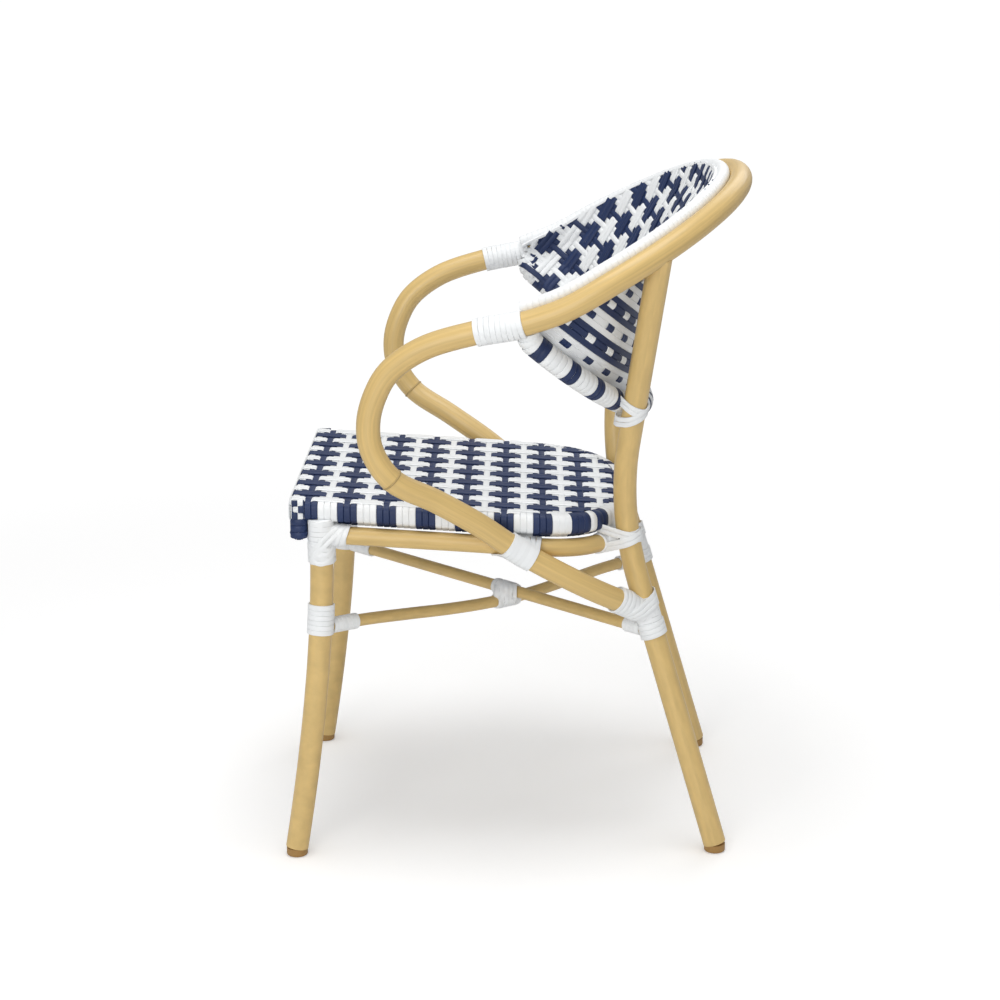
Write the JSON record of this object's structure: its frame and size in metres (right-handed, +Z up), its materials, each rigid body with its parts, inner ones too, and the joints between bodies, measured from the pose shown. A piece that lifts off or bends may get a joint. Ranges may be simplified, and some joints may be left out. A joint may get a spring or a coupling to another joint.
{
  "type": "armchair",
  "caption": "Bistro armchair with a bent bamboo-look tube frame, looped arms, white strip lashings and a navy and white woven seat and back.",
  "frame": {"origin": "centre of the bounding box at floor level, midway between the arms", "axes": "+Z up, -Y towards the front where the sitter faces, +X towards the sitter's left"},
  "size_m": [0.5988, 0.569, 0.828],
  "materials": {
    "bamboo_tube": "satin bamboo-look paint",
    "white_strip": "matt white strip",
    "woven_navy": "navy and white flat weave",
    "woven_white": "white and navy flat weave",
    "glide": "satin tan"
  },
  "bodies": {
    "root": {"arm_back_hoop": "bamboo_tube", "seat_ring": "bamboo_tube", "front_cross_rail": "bamboo_tube", "stretcher_low": "bamboo_tube", "stretcher_high": "bamboo_tube", "rear_leg_left": "bamboo_tube", "rear_leg_right": "bamboo_tube", "front_leg_left": "bamboo_tube", "front_leg_right": "bamboo_tube", "back_edge_binding": "white_strip", "crossing_wrap": "white_strip", "front_corner_wrap_left": "white_strip", "seat_rear_wrap_left": "white_strip", "rear_joint_wrap_left": "white_strip", "back_lashing_left": "white_strip", "arm_wrap_left": "white_strip", "rail_wrap_left": "white_strip", "front_leg_band_left": "white_strip", "front_stretcher_sleeve_left": "white_strip", "rear_stretcher_sleeve_left": "white_strip", "front_corner_wrap_right": "white_strip", "seat_rear_wrap_right": "white_strip", "rear_joint_wrap_right": "white_strip", "back_lashing_right": "white_strip", "arm_wrap_right": "white_strip", "rail_wrap_right": "white_strip", "front_leg_band_right": "white_strip", "front_stretcher_sleeve_right": "white_strip", "rear_stretcher_sleeve_right": "white_strip", "back_weave": "woven_navy", "seat_front_roll": "woven_navy", "seat_weave": "woven_white", "back_roll": "woven_white", "front_glide_left": "glide", "front_glide_right": "glide", "rear_glide_left": "glide", "rear_glide_right": "glide"}
  },
  "joints": []
}
